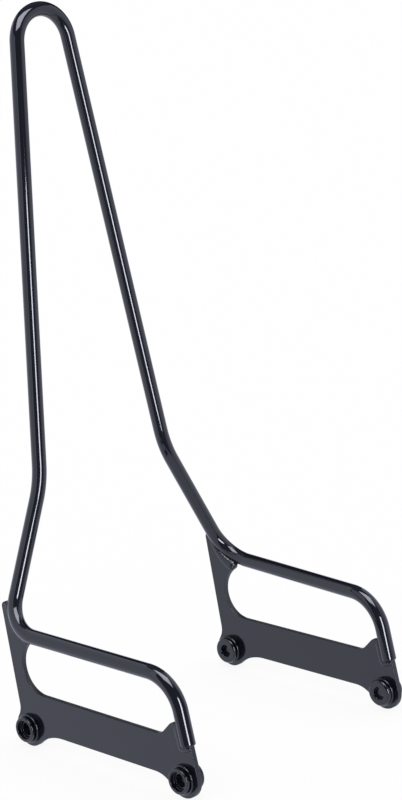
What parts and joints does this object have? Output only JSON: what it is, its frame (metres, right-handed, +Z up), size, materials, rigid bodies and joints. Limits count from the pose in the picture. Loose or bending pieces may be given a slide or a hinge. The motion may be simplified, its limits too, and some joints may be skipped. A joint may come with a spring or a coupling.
{
  "type": "sissy bar",
  "caption": "Tall sissy bar of bent round bar: a slim leaning hoop welded to two side plates, each with two turned mounting bushings, in gloss black.",
  "frame": {"origin": "below the middle of the part, halfway between the side plates and halfway along its depth, on the surface that the four plate lobes stand on", "axes": "+Z up, -Y the way the motorcycle and its rider face, +X towards the rider's left, X = 0 the plane of symmetry"},
  "size_m": [0.274, 0.2794, 0.6139],
  "materials": {
    "bar": "gloss black powder coat on round steel bar",
    "plate": "gloss black powder coat on flat steel plate",
    "bushing": "gloss black powder coat on turned steel",
    "weld": "gloss black powder coat over weld beads"
  },
  "bodies": {
    "root": {"hoop": "bar", "right_plate": "plate", "left_plate": "plate", "right_rear_bushing": "bushing", "right_front_bushing": "bushing", "left_rear_bushing": "bushing", "left_front_bushing": "bushing", "right_rear_weld": "weld", "left_rear_weld": "weld", "right_front_weld": "weld", "left_front_weld": "weld"}
  },
  "joints": []
}
